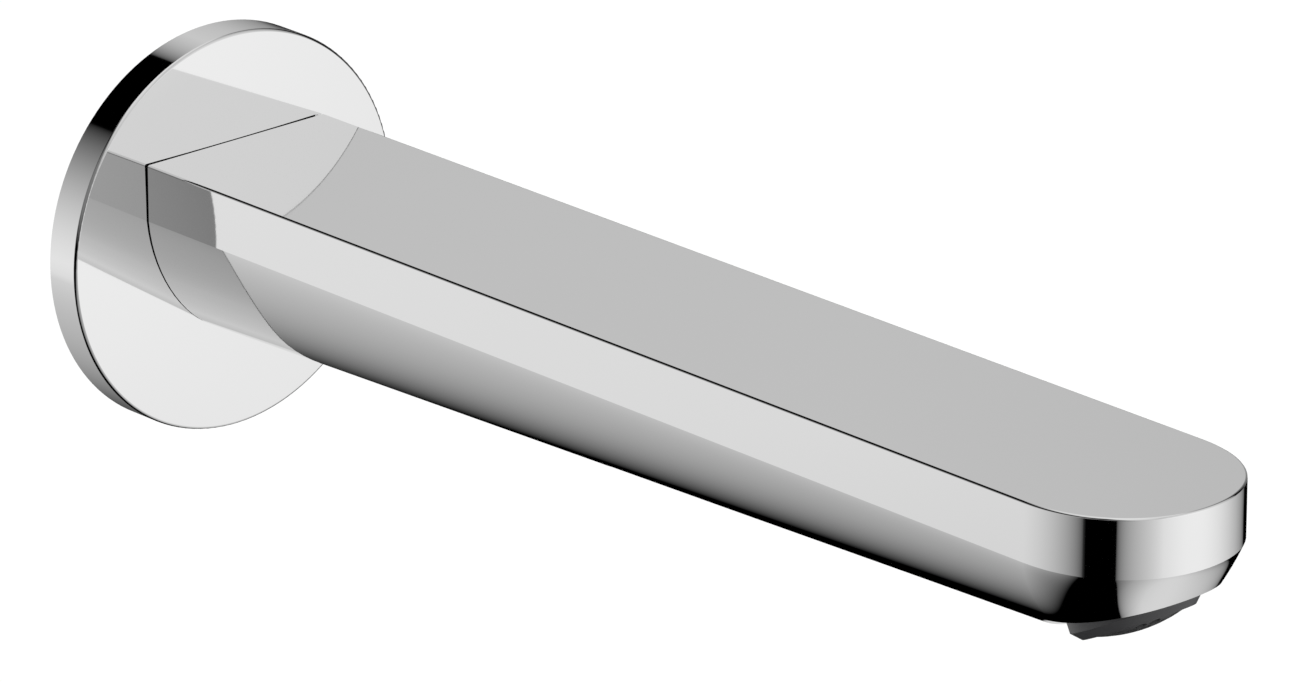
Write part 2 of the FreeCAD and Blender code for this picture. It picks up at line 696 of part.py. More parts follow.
def all_pieces():
    front_place, rear_place = o_ring_places()
    return {
        "spout_body": spout_body(),
        "wall_flange": wall_flange(),
        "flange_wall_seal": flange_wall_seal(),
        "flange_centring_ring": flange_centring_ring(),
        "spout_back_seal": spout_back_seal(),
        "wall_nipple": wall_nipple(),
        "nipple_collar_washer": nipple_collar_washer(),
        "nipple_o_ring_front": nipple_o_ring(front_place),
        "nipple_o_ring_rear": nipple_o_ring(rear_place),
        "locking_screw": locking_screw(),
        "screw_plug": screw_plug(),
        "aerator_housing": on_outlet(aerator_housing()),
        "aerator_seal": on_outlet(aerator_seal()),
        "aerator_filter": on_outlet(aerator_filter()),
        "flow_regulator": on_outlet(flow_regulator()),
        "regulator_o_ring": on_outlet(regulator_o_ring()),
        "regulator_star": on_outlet(regulator_star()),
        "jet_plate": on_outlet(jet_plate()),
        "mixing_ring": on_outlet(mixing_ring()),
        "upper_mesh": on_outlet(mesh_disc("upper_mesh")),
        "mesh_spacer": on_outlet(mesh_spacer()),
        "lower_mesh": on_outlet(mesh_disc("lower_mesh")),
        "outlet_grid": on_outlet(outlet_grid()),
    }


os.makedirs("parts", exist_ok=True)
for name, piece in all_pieces().items():
    piece.exportStep("parts/" + name + ".step")
    print(name, "solids", len(piece.Solids), "valid", piece.isValid(), "volume", round(piece.Volume, 1))
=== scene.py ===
# %% [markdown]
# # A chromed wall spout on white
#
# This lesson dresses the solids of a wall spout for a product picture. The solids come packed, each piece of
# metal, rubber or plastic as an object of its own, and they already have the right shape. What is left is
# what a photographer and a plating shop would add: a studio, a camera and finishes. Polished chrome has next
# to no look of its own. It is a mirror, so most of the work lies in the studio and in the true curve of the
# surface.

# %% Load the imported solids
import json
import math
import bmesh
import bpy
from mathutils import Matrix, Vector

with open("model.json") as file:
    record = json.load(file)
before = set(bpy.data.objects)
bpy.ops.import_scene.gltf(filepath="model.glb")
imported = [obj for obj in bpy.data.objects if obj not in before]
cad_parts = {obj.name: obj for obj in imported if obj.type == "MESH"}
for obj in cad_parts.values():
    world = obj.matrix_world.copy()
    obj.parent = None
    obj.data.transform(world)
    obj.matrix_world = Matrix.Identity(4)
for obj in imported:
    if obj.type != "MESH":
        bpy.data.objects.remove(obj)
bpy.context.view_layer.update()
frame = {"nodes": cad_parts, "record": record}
nodes = frame["nodes"]
print("loaded", len(nodes), "solids")

# %% [markdown]
# ## The camera
#
# The picture was taken from above and to one side with a long lens, which keeps the straight edges of a
# spout nearly parallel. The aim point, the two angles and the distance were worked out from those edges and
# from the round flange. The camera sits on a line that leaves the aim point at these angles.

# %% Camera
aim = Vector((0.111816, 0.0, 0.008979))
turn = math.radians(47.3485)
lift = math.radians(20.5653)
away = Vector((math.sin(turn) * math.cos(lift), -math.cos(turn) * math.cos(lift), math.sin(lift)))
camera_distance = 1.50805

lens = bpy.data.cameras.new("long_lens")
lens.sensor_width = 36.0
lens.lens = 256.48
lens.clip_end = 50.0
camera = bpy.data.objects.new("camera", lens)
camera.location = aim + away * camera_distance
camera.rotation_euler = (-away).to_track_quat("-Z", "Y").to_euler()
bpy.context.scene.collection.objects.link(camera)
bpy.context.scene.camera = camera
bpy.context.scene.view_settings.view_transform = "Standard"
print("camera at", [round(v, 3) for v in camera.location])

# %% [markdown]
# ## Small helpers for shader nodes
#
# A material is a chain of nodes. These helpers add a node, set its plain values and join it to the next one,
# so that each finish below reads as a short list of what feeds what. What feeds a socket is either the output
# of another node or a plain value.


# %% Node helpers
def add_node(tree, kind, **values):
    # Each value goes to the node's own setting of that name, or else to its input socket.
    node = tree.nodes.new(kind)
    for name, value in values.items():
        if hasattr(node, name):
            setattr(node, name, value)
        else:
            node.inputs[name.replace("_", " ")].default_value = value
    return node


def join(tree, source, target):
    tree.links.new(source, target)


def feed(tree, socket, source):
    if isinstance(source, bpy.types.NodeSocket):
        join(tree, source, socket)
    else:
        socket.default_value = source


print("ready to add, join and feed nodes")

# %% [markdown]
# ## Sums with nodes
#
# The studio and the curved mirror are both worked out by sums, so the nodes for sums get short names: number
# for plain numbers, vector for places and directions, and blend for a mix of two vectors. Split and combine
# take a vector apart and put one together.


# %% Sum helpers
def number(tree, operation, *parts):
    node = add_node(tree, "ShaderNodeMath", operation=operation)
    for socket, part in zip(node.inputs, parts):
        feed(tree, socket, part)
    return node.outputs["Value"]


def vector(tree, operation, *parts):
    node = add_node(tree, "ShaderNodeVectorMath", operation=operation)
    for socket, part in zip(node.inputs, parts):
        feed(tree, socket, part)
    return node.outputs["Value" if operation in ("DOT_PRODUCT", "LENGTH") else "Vector"]


def blend(tree, share, first, second):
    node = add_node(tree, "ShaderNodeMix", data_type="VECTOR")
    for name, part in (("Factor", share), ("A", first), ("B", second)):
        feed(tree, node.inputs[name], part)
    return node.outputs["Result"]


def split(tree, source):
    node = add_node(tree, "ShaderNodeSeparateXYZ")
    join(tree, source, node.inputs["Vector"])
    return node.outputs


def combine(tree, x, y, z):
    node = add_node(tree, "ShaderNodeCombineXYZ")
    for socket, part in zip(node.inputs, (x, y, z)):
        feed(tree, socket, part)
    return node.outputs["Vector"]


print("ready to work with numbers and vectors")

# %% [markdown]
# ## Node groups
#
# An effect that is used in several places is built once, as a group with named inputs and outputs. Each place
# then takes the group with values of its own.

# %% Group helpers
socket_types = {"FLOAT": "NodeSocketFloat", "VECTOR": "NodeSocketVector", "COLOR": "NodeSocketColor"}


def new_group(name, inputs, outputs):
    group = bpy.data.node_groups.new(name, "ShaderNodeTree")
    for in_out, sockets in (("INPUT", inputs), ("OUTPUT", outputs)):
        for label, kind in sockets.items():
            group.interface.new_socket(label, in_out=in_out, socket_type=socket_types[kind])
    return group, add_node(group, "NodeGroupInput").outputs, add_node(group, "NodeGroupOutput").inputs


def use_group(tree, group, **parts):
    node = add_node(tree, "ShaderNodeGroup", node_tree=group)
    for name, part in parts.items():
        feed(tree, node.inputs[name.replace("_", " ")], part)
    return node.outputs


print("a group's sockets can be", ", ".join(socket_types))

# %% [markdown]
# ## One side of a soft box
#
# A mirror shows where a soft box begins, how fast it fades and where it is brightest. All of that depends on
# the direction alone, so the studio can live in the world's shader. The group below compares the direction
# with a heading: at the value called Edge the light is zero, at Full it is whole, and Power bends the fade
# between them. One to five such fades, multiplied, make one soft box with the right shape.

# %% Fade group
fade_group, given, result = new_group(
    "Soft box fade",
    {"Direction": "VECTOR", "Heading": "VECTOR", "Edge": "FLOAT", "Full": "FLOAT", "Power": "FLOAT"},
    {"Light": "FLOAT"},
)
likeness = vector(fade_group, "DOT_PRODUCT", given["Direction"], given["Heading"])
ramp = add_node(fade_group, "ShaderNodeMapRange", clamp=True)
join(fade_group, likeness, ramp.inputs["Value"])
join(fade_group, given["Edge"], ramp.inputs["From Min"])
join(fade_group, given["Full"], ramp.inputs["From Max"])
join(fade_group, number(fade_group, "POWER", ramp.outputs["Result"], given["Power"]), result["Light"])
print("made group", fade_group.name)

# %% [markdown]
# ## Headings
#
# A heading is given by two angles in degrees: the azimuth, counted round the vertical from straight out of
# the wall, and the elevation above the level.


# %% Heading helper
def heading(azimuth, elevation):
    flat = math.cos(math.radians(elevation))
    return (
        flat * math.cos(math.radians(azimuth)),
        flat * math.sin(math.radians(azimuth)),
        math.sin(math.radians(elevation)),
    )


straight_up = heading(0.0, 90.0)
straight_down = heading(0.0, -90.0)
print("straight up is", [round(v, 2) for v in straight_up])

# %% [markdown]
# ## The soft boxes that the metal sees
#
# Each soft box is a brightness and its fades, and each fade is a heading, an edge, a full and a power.
#
# - left lights the long side of the spout, and low_left its rounded underside
# - front lights the flange and the nose, and its sharp left edge draws the black band down the nose
# - right_front carries that light further down on the right, and low_front carries it on below, much dimmer
# - rear lies low behind the spout and greys the flat top
# - high_front fills what the flange throws on the flat top
# - far_side is dim and shows only from behind
# - ceiling shows on the flat top when the camera climbs
#
# Between them stay dark gaps, because bright metal needs black beside it to look like metal.

# %% Soft boxes
front_shape = [
    (heading(28.75, -39.07), 0.379, 0.947, 0.571),
    (heading(35.09, 28.91), -0.320, -0.126, 0.460),
    (heading(-72.43, -5.36), -1.496, 0.369, 1.412),
]
front_side = heading(155.94, 47.53)
bright_front = front_shape + [(front_side, -1.279, 0.112, 1.192)]
dim_front = front_shape + [(front_side, -1.279, -0.835, 1.192)]

soft_boxes = {
    "left": (1.406, [
        (heading(-146.50, 23.36), 0.195, 1.741, 0.490),
        (heading(42.06, -78.68), -0.709, 0.080, 0.765),
        (heading(-158.29, 47.03), -0.779, 0.377, 0.641),
        (straight_up, -0.560, -0.360, 0.500),
    ]),
    "low_left": (3.094, [
        (heading(-149.57, 19.22), 0.156, 0.951, 1.071),
        (heading(42.06, -78.73), -0.711, 0.074, 0.765),
        (heading(59.34, 35.45), -1.136, 0.138, 0.634),
        (straight_down, 0.310, 0.400, 1.000),
    ]),
    "front": (3.817, bright_front + [(straight_up, -0.470, -0.400, 1.000)]),
    "right_front": (3.817, bright_front + [(heading(126.00, 0.00), -0.100, -0.030, 1.000)]),
    "low_front": (0.979, dim_front),
    "rear": (0.852, [
        (heading(37.44, 97.76), -1.249, 1.007, 1.168),
        (heading(42.57, 32.76), -0.612, 0.066, 1.431),
        (heading(57.37, 19.71), 0.027, 0.177, 0.631),
        (heading(-116.68, -10.80), -0.886, -0.340, 0.789),
        (straight_up, -0.300, -0.060, 1.000),
    ]),
    "high_front": (0.838, [
        (heading(30.51, 24.26), 0.697, 1.010, 0.499),
        (heading(43.22, 68.63), 0.027, 0.483, 0.373),
    ]),
    "far_side": (0.200, [
        (heading(-46.00, 18.00), 0.900, 0.980, 1.000),
    ]),
    "ceiling": (0.750, [
        (straight_up, 0.740, 0.880, 1.000),
        (heading(138.00, 0.00), -0.480, -0.360, 1.000),
    ]),
}
print("planned", len(soft_boxes), "soft boxes")

# %% [markdown]
# ## Hanging the soft boxes in the world
#
# The world's shader multiplies the fades of each box, and where two boxes overlap the brighter one shows.
# Dull pieces are lit by plain white from all around, so Cycles needs no map of the world to aim light rays.

# %% World light
world = bpy.data.worlds.new("studio")
bpy.context.scene.world = world
world.use_nodes = True
world.cycles.sampling_method = "NONE"
studio = world.node_tree
studio.nodes.clear()
direction = add_node(studio, "ShaderNodeTexCoord").outputs["Generated"]
studio_light = 0.0
for brightness, fades in soft_boxes.values():
    box_light = brightness
    for facing, edge, full, power in fades:
        fade = use_group(
            studio, fade_group, Direction=direction, Heading=facing, Edge=edge, Full=full, Power=power
        )
        box_light = number(studio, "MULTIPLY", box_light, fade["Light"])
    studio_light = number(studio, "MAXIMUM", studio_light, box_light)
print("the studio has", len(studio.nodes), "nodes")

# %% [markdown]
# ## White for the camera, soft boxes for the metal
#
# The backdrop is plain white and everything dull is lit evenly by it. Only glossy rays meet the soft boxes
# and the dark gaps, as they would in a light tent with openings. The Light Path node tells the two apart.

# %% World output
white = (1.0, 1.0, 1.0, 1.0)

path = add_node(studio, "ShaderNodeLightPath")
choose = add_node(studio, "ShaderNodeMix", data_type="RGBA")
choose.inputs["A"].default_value = white
backdrop = add_node(studio, "ShaderNodeBackground", Strength=1.0)
world_out = add_node(studio, "ShaderNodeOutputWorld")
join(studio, path.outputs["Is Glossy Ray"], choose.inputs["Factor"])
join(studio, studio_light, choose.inputs["B"])
join(studio, choose.outputs["Result"], backdrop.inputs["Color"])
join(studio, backdrop.outputs["Background"], world_out.inputs["Surface"])
print("world is", world.name)

# %% [markdown]
# ## The floor
#
# The spout hangs on a wall, so the floor lies well below it, as one wide sheet that takes its faint shadow.
# The metal doesn't see it, because its mirror image would fill the dark gaps of the studio.

# %% Floor
floor_reach = 6.0
floor_z = -0.4

floor_mesh = bpy.data.meshes.new("floor")
bm = bmesh.new()
bmesh.ops.create_grid(bm, x_segments=2, y_segments=2, size=floor_reach)
bmesh.ops.translate(bm, verts=bm.verts, vec=(0.0, 0.0, floor_z))
bm.to_mesh(floor_mesh)
bm.free()
floor = bpy.data.objects.new("floor", floor_mesh)
bpy.context.scene.collection.objects.link(floor)
floor.visible_glossy = False
print("floor at", round(floor_mesh.vertices[0].co.z, 2))

# %% [markdown]
# ## The paper on the floor
#
# The floor is pale matte paper. A little of its own white is added for camera rays, so that it meets the
# white backdrop without a horizon. Seen from below it is clear, so that a camera under it can look up at the
# outlet. The helper starts a finish from the Principled shader, and the pieces of the spout use it too.


# %% Floor paper
def new_finish(name, **values):
    material = bpy.data.materials.new(name)
    material.use_nodes = True
    shader = material.node_tree.nodes["Principled BSDF"]
    for socket, value in values.items():
        shader.inputs[socket.replace("_", " ")].default_value = value
    return material, material.node_tree, shader


pale = (0.9, 0.9, 0.9, 1.0)
horizon_glow = 0.14

paper, tree, shader = new_finish("pale_paper", Base_Color=pale, Roughness=0.9, Emission_Color=white)
seen = add_node(tree, "ShaderNodeLightPath").outputs["Is Camera Ray"]
join(tree, number(tree, "MULTIPLY", seen, horizon_glow), shader.inputs["Emission Strength"])

from_below = add_node(tree, "ShaderNodeNewGeometry").outputs["Backfacing"]
clear = add_node(tree, "ShaderNodeBsdfTransparent").outputs["BSDF"]
one_sided = add_node(tree, "ShaderNodeMixShader")
for socket, source in zip(one_sided.inputs, (from_below, shader.outputs["BSDF"], clear)):
    join(tree, source, socket)
join(tree, one_sided.outputs["Shader"], tree.nodes["Material Output"].inputs["Surface"])
floor_mesh.materials.append(paper)
print("the floor is", paper.name)

# %% [markdown]
# ## The true curve under a mirror
#
# The solids arrive as small flat fields. Their shading is smooth enough for plastic, but a mirror shows every
# step between two fields. So the chrome works out the true direction of the surface at each place. The
# underside and the nose of the spout follow cubic curves, as they do in the construction.
#
# A cubic curve has four poles, and a share from 0 to 1 says how far along it a point lies. Blending each pole
# with the next one, three times over, gives the point. The last step of the blending points along the curve
# and is a third of its true slope.

# %% Curve group
pole_names = ("Start", "Handle A", "Handle B", "End")
pole_sockets = {name: "VECTOR" for name in pole_names}

curve_group, given, result = new_group(
    "Cubic curve", {**pole_sockets, "Share": "FLOAT"}, {"Point": "VECTOR", "Slope": "VECTOR"}
)
blended = [given[name] for name in pole_names]
while len(blended) > 2:
    blended = [blend(curve_group, given["Share"], *pair) for pair in zip(blended, blended[1:])]
join(curve_group, blend(curve_group, given["Share"], *blended), result["Point"])
join(curve_group, vector(curve_group, "SUBTRACT", blended[1], blended[0]), result["Slope"])
print("made group", curve_group.name)

# %% [markdown]
# ## Finding the share that belongs to a place
#
# A place near the curve belongs to the share whose point is nearest. This group moves a guess nearer to it.
# It measures how far the guess misses the place along the curve, and divides that by the true slope.

# %% Nearer group
slope_ratio = 3.0


def poles_of(points):
    return {name.replace(" ", "_"): point for name, point in zip(pole_names, points)}


nearer_group, given, result = new_group(
    "Nearer share", {**pole_sockets, "Place": "VECTOR", "Share": "FLOAT"}, {"Share": "FLOAT"}
)
poles = poles_of([given[name] for name in pole_names])
curve = use_group(nearer_group, curve_group, Share=given["Share"], **poles)
miss = vector(nearer_group, "SUBTRACT", given["Place"], curve["Point"])
along = vector(nearer_group, "DOT_PRODUCT", miss, curve["Slope"])
steepness = vector(nearer_group, "DOT_PRODUCT", curve["Slope"], curve["Slope"])
step = number(nearer_group, "DIVIDE", number(nearer_group, "DIVIDE", along, steepness), slope_ratio)
moved = number(nearer_group, "MINIMUM", number(nearer_group, "ADD", given["Share"], step), 1.0)
join(nearer_group, number(nearer_group, "MAXIMUM", moved, 0.0), result["Share"])
print("made group", nearer_group.name)

# %% [markdown]
# ## Several moves
#
# One move isn't enough, because the slope changes along the curve. Three to five of them, each one starting
# from the share that the last one found, come close enough for a mirror.


# %% Several moves
def nearest(tree, points, place, share, moves):
    for _ in range(moves):
        share = use_group(tree, nearer_group, Place=place, Share=share, **poles_of(points))["Share"]
    return share


print("each move is one", nearer_group.name)

# %% [markdown]
# ## Where the curves of the spout run
#
# The poles below are those of the construction, in metres. A section runs from the crease on the side down to
# the middle of the underside. There is one at the wall and one where the nose begins.

# %% Sections of the spout
bar_start = 0.0073
nose_start = 0.215
half_width = 0.0195
crease_z = 0.0064
crease_lean = math.tan(math.radians(5.0))


def section(x, side_drop, bottom_handle, bottom):
    return [
        (x, half_width, crease_z),
        (x, half_width - side_drop * crease_lean, crease_z - side_drop),
        (x, bottom_handle, -bottom),
        (x, 0.0, -bottom),
    ]


wall_section = section(bar_start, side_drop=0.0122, bottom_handle=0.0090, bottom=0.0170)
nose_section = section(nose_start, side_drop=0.0056, bottom_handle=0.0124, bottom=0.0099)
print("a section has", len(nose_section), "poles")

# %% [markdown]
# ## The net of the nose
#
# The nose is a net of four rows of poles, from the side round to the tip. Lower poles are tucked in further,
# and the crease has a rounder outline than the underside below it.

# %% Net of the nose
tip_x = 0.2357
tucks = (0.0, 0.0046, 0.0086, 0.0126)
fullnesses = (0.58, 0.70, 0.70, 0.70)

nose_net = [[], [], [], []]
for (x, y, z), tuck, fullness in zip(nose_section, tucks, fullnesses):
    tip = tip_x - tuck
    nose_net[0].append((nose_start, y, z))
    nose_net[1].append((nose_start + (tip - nose_start) * fullness, y, z))
    nose_net[2].append((tip, y * fullness, z))
    nose_net[3].append((tip, 0.0, z))
print("the net has", len(nose_net), "rows")

# %% [markdown]
# ## Slopes on the straight length
#
# On the straight length a section is a blend of the two known ones. Its own slope runs down the section, and
# the change from the one known section to the other gives the slope along the spout.

# %% Straight length
bar_moves = 5


def bar_surface(tree, place, first_down):
    # The nearest point, the slope along the spout and the slope down the section.
    run = number(tree, "SUBTRACT", split(tree, place)["X"], bar_start)
    share_x = number(tree, "DIVIDE", run, nose_start - bar_start)
    pairs = list(zip(wall_section, nose_section))
    poles = [blend(tree, share_x, first, last) for first, last in pairs]
    changes = [tuple(b - a for a, b in zip(first, last)) for first, last in pairs]
    down = nearest(tree, poles, place, first_down, bar_moves)
    curve = use_group(tree, curve_group, Share=down, **poles_of(poles))
    forward = use_group(tree, curve_group, Share=down, **poles_of(changes))["Point"]
    return curve["Point"], forward, curve["Slope"]


print("straight length", round(nose_start - bar_start, 4), "m")

# %% [markdown]
# ## Slopes on the nose
#
# On the nose the height alone gives the share down the section. At that share the four rows of the net give
# the four poles of a curve round the nose, and the place on the level gives the share round it.

# %% Nose
down_moves = 3
round_moves = 5
quarter_turn = math.pi / 2


def levelled(tree, source):
    return vector(tree, "MULTIPLY", source, (1.0, 1.0, 0.0))


def nose_surface(tree, place, first_down):
    # The nearest point, the slope round the nose and the slope down the section.
    x, beside, z = split(tree, place)
    heights = [(0.0, 0.0, pole[2]) for pole in nose_section]
    down = nearest(tree, heights, combine(tree, 0.0, 0.0, z), first_down, down_moves)
    rows = [use_group(tree, curve_group, Share=down, **poles_of(row)) for row in nose_net]
    poles = [row["Point"] for row in rows]
    angle = number(tree, "ARCTAN2", number(tree, "SUBTRACT", x, nose_start), beside)
    first_share = number(tree, "MAXIMUM", number(tree, "DIVIDE", angle, quarter_turn), 0.0)
    level_poles = [levelled(tree, pole) for pole in poles]
    share = nearest(tree, level_poles, levelled(tree, place), first_share, round_moves)
    curve = use_group(tree, curve_group, Share=share, **poles_of(poles))
    slopes = poles_of([row["Slope"] for row in rows])
    return curve["Point"], curve["Slope"], use_group(tree, curve_group, Share=share, **slopes)["Point"]


print("nose length", round(tip_x - nose_start, 4), "m")

# %% [markdown]
# ## Small rounds on the edges
#
# Where the flat top of the spout meets its sides, and where the face of the flange meets its rim, the edge
# has a small round. There the direction is a sum of the directions of both faces, and each one counts by how
# far the place lies over towards it. With a flatness of 1 that is a true round. A lower one lets the
# direction turn faster at both ends of the round, which draws the thin dark lines along these edges.


# %% Edge rounds
def past(tree, value, start):
    # How far a value lies past a start, and zero before it.
    return number(tree, "MAXIMUM", number(tree, "SUBTRACT", value, start), 0.0)


def edge_direction(tree, first, over_first, second, over_second, flatness):
    first = vector(tree, "MULTIPLY", first, number(tree, "POWER", over_first, flatness))
    second = vector(tree, "MULTIPLY", second, number(tree, "POWER", over_second, flatness))
    return vector(tree, "ADD", first, second)


print("ready for edge rounds")

# %% [markdown]
# ## The true direction on the spout
#
# Both halves of the spout mirror each other, so the place is folded to one side first, and the direction is
# folded back at the end. The two slopes span the surface, and their cross product points straight out of it.
# On the upright side, above the crease, the slope down is simply downward. On the flat top the sum for the
# edge round leaves only upward. A place that misses the curved surface, such as one on the outlet face or
# inside the casting, is marked as not close, and the direction isn't used there.

# %% True direction on the spout
top_z = 0.0164
top_round = 0.00035
top_flatness = 0.5
underside_depth = 0.0205
greatest_miss = 0.00015
upward = (0.0, 0.0, 1.0)
downward = (0.0, 0.0, -1.0)


def spout_direction(tree, here):
    x, y, z = split(tree, here)
    place = combine(tree, x, number(tree, "ABSOLUTE", y), z)
    depth = number(tree, "SUBTRACT", crease_z, z)
    upright = number(tree, "LESS_THAN", depth, 0.0)
    on_nose = number(tree, "GREATER_THAN", x, nose_start)

    first_down = number(tree, "MAXIMUM", number(tree, "DIVIDE", depth, underside_depth), 0.0)
    surfaces = zip(bar_surface(tree, place, first_down), nose_surface(tree, place, first_down))
    point, sideways, down = [blend(tree, on_nose, bar, nose) for bar, nose in surfaces]
    sideways = vector(tree, "NORMALIZE", blend(tree, upright, sideways, levelled(tree, sideways)))
    down = blend(tree, upright, vector(tree, "NORMALIZE", down), downward)
    outward = vector(tree, "NORMALIZE", vector(tree, "CROSS_PRODUCT", sideways, down))

    gap = vector(tree, "SUBTRACT", place, point)
    miss = vector(tree, "LENGTH", blend(tree, upright, gap, levelled(tree, gap)))
    over_side = past(tree, top_round, miss)
    over_top = past(tree, z, top_z - top_round)
    rounded = edge_direction(tree, outward, over_side, upward, over_top, top_flatness)
    on_edge = number(tree, "GREATER_THAN", over_top, 0.0)
    outward = blend(tree, on_edge, outward, vector(tree, "NORMALIZE", rounded))

    close = number(tree, "MAXIMUM", on_edge, number(tree, "LESS_THAN", miss, greatest_miss))
    unfold = combine(tree, 1.0, number(tree, "SIGN", y), 1.0)
    return vector(tree, "MULTIPLY", outward, unfold), close


print("the edge round starts at", round(top_z - top_round, 5), "m")

# %% [markdown]
# ## The true direction on the flange
#
# The flange was turned, so its direction depends only on the place along the axis and the distance from it.
# The face is a very flat dome, a piece of a large ball. The edge is a small round, and the rim is a cylinder.

# %% True direction on the flange
flange_radius = 0.035
flange_face = 0.0072
flange_dome = 0.00055
flange_round = 0.0005
flange_flatness = 0.25
face_radius = flange_radius - flange_round
ball_radius = (face_radius ** 2 + flange_dome ** 2) / (2 * flange_dome)
out_of_wall = (1.0, 0.0, 0.0)


def flange_direction(tree, here):
    across = vector(tree, "MULTIPLY", here, (0.0, 1.0, 1.0))
    distance = vector(tree, "LENGTH", across)
    outward = vector(tree, "NORMALIZE", across)
    over_rim = past(tree, distance, face_radius)
    over_face = past(tree, split(tree, here)["X"], flange_face - flange_dome - flange_round)
    rounded = edge_direction(tree, outward, over_rim, out_of_wall, over_face, flange_flatness)
    domed = vector(tree, "ADD", here, (ball_radius - flange_face, 0.0, 0.0))
    on_face = number(tree, "LESS_THAN", distance, face_radius)
    return vector(tree, "NORMALIZE", blend(tree, on_face, rounded, domed)), 1.0


print("the dome is part of a ball of radius", round(ball_radius, 2), "m")

# %% [markdown]
# ## Which direction the mirror uses
#
# The true direction is used only on the surface that it was worked out for, and where it is much like the
# direction of the solid's own shading. Backs, holes and the inside keep the shading of the solid.

# %% Mirror direction
least_likeness = 0.7


def object_place(tree):
    return add_node(tree, "ShaderNodeTexCoord").outputs["Object"]


def true_direction(tree, shader, direction_of):
    meshed = add_node(tree, "ShaderNodeNewGeometry").outputs["Normal"]
    direction, close = direction_of(tree, object_place(tree))
    likeness = vector(tree, "DOT_PRODUCT", direction, meshed)
    trusted = number(tree, "MULTIPLY", number(tree, "GREATER_THAN", likeness, least_likeness), close)
    join(tree, blend(tree, trusted, meshed, direction), shader.inputs["Normal"])


print("least likeness", least_likeness)

# %% [markdown]
# ## Soft clouds
#
# No real surface is quite the same all over. This group is a noise of soft clouds in the coordinates of the
# piece. It is used large for the mottle of every finish, and very small for the grain of plastic and rubber.

# %% Clouds group
cloud_detail = 3.0

clouds_group, given, result = new_group(
    "Soft clouds", {"Place": "VECTOR", "Scale": "FLOAT"}, {"Cover": "FLOAT"}
)
noise = add_node(clouds_group, "ShaderNodeTexNoise", Detail=cloud_detail)
join(clouds_group, given["Place"], noise.inputs["Vector"])
join(clouds_group, given["Scale"], noise.inputs["Scale"])
join(clouds_group, noise.outputs["Fac"], result["Cover"])
print("made group", clouds_group.name)

# %% [markdown]
# ## Mottle
#
# Where the clouds are thick, the colour is a little lighter and the roughness a little higher, as on metal
# that has been wiped or plastic that cooled in its mould. The group takes two tones and two values of
# roughness, and the clouds blend between them.

# %% Mottle group
mottle_group, given, result = new_group(
    "Mottle",
    {
        "Place": "VECTOR",
        "Scale": "FLOAT",
        "Dark": "COLOR",
        "Light": "COLOR",
        "Least rough": "FLOAT",
        "Most rough": "FLOAT",
    },
    {"Color": "COLOR", "Roughness": "FLOAT"},
)
cover = use_group(mottle_group, clouds_group, Place=given["Place"], Scale=given["Scale"])["Cover"]
tone = add_node(mottle_group, "ShaderNodeMix", data_type="RGBA")
for name, source in (("Factor", cover), ("A", given["Dark"]), ("B", given["Light"])):
    join(mottle_group, source, tone.inputs[name])
rough = add_node(mottle_group, "ShaderNodeMapRange")
for name, source in (("Value", cover), ("To Min", given["Least rough"]), ("To Max", given["Most rough"])):
    join(mottle_group, source, rough.inputs[name])
join(mottle_group, tone.outputs["Result"], result["Color"])
join(mottle_group, rough.outputs["Result"], result["Roughness"])
print("made group", mottle_group.name)

# %% [markdown]
# ## Mottle and relief in a finish
#
# The first helper places the mottle in a finish. It takes one roughness, and the share by which it swings to
# either side. The second one raises a relief with a Bump node, and can lay a fine relief over a coarser one.


# %% Mottle and relief helpers
def mottle(tree, shader, scale, dark, light, roughness, swing):
    look = use_group(
        tree,
        mottle_group,
        Place=object_place(tree),
        Scale=scale,
        Dark=(*dark, 1.0),
        Light=(*light, 1.0),
        Least_rough=roughness * (1.0 - swing),
        Most_rough=roughness * (1.0 + swing),
    )
    join(tree, look["Color"], shader.inputs["Base Color"])
    join(tree, look["Roughness"], shader.inputs["Roughness"])


def relief(tree, shader, height, strength, distance, over=None):
    # The normal of the coarser relief, if there is one, is where this one starts from.
    bump = add_node(tree, "ShaderNodeBump", Strength=strength, Distance=distance)
    join(tree, height, bump.inputs["Height"])
    if over:
        join(tree, over, bump.inputs["Normal"])
    join(tree, bump.outputs["Normal"], shader.inputs["Normal"])
    return bump.outputs["Normal"]


print("ready to mottle and to raise a relief")

# %% [markdown]
# ## Polished chrome
#
# Chrome plating over polished metal is nearly white, a mirror with the faintest veil. The mottle is large and
# weak, as on a surface that has been wiped. The casting and the flange differ only in their curves.

# %% Chrome
chrome_clouds = 38.0
chrome_dark = (0.875, 0.875, 0.875)
chrome_light = (0.885, 0.885, 0.885)
chrome_veil = 0.035
chrome_swing = 0.4

finishes = {}
for name, direction_of in (("chrome_body", spout_direction), ("chrome_flange", flange_direction)):
    finishes[name], tree, shader = new_finish(name, Metallic=1.0)
    mottle(tree, shader, chrome_clouds, chrome_dark, chrome_light, chrome_veil, chrome_swing)
    true_direction(tree, shader, direction_of)
print("chrome made for", ", ".join(finishes))

# %% [markdown]
# ## Plastic, rubber and foam
#
# Moulded plastic has a fine grain and a soft sheen. Rubber is darker and duller. Foam has open cells, so its
# grain is coarse. Each of them is a dark tone, a light tone, a roughness and the fineness of its grain.

# %% Plastic, rubber and foam
moulded_clouds = 240.0
moulded_swing = 0.15
grain_strength = 0.25
grain_distance = 0.00005

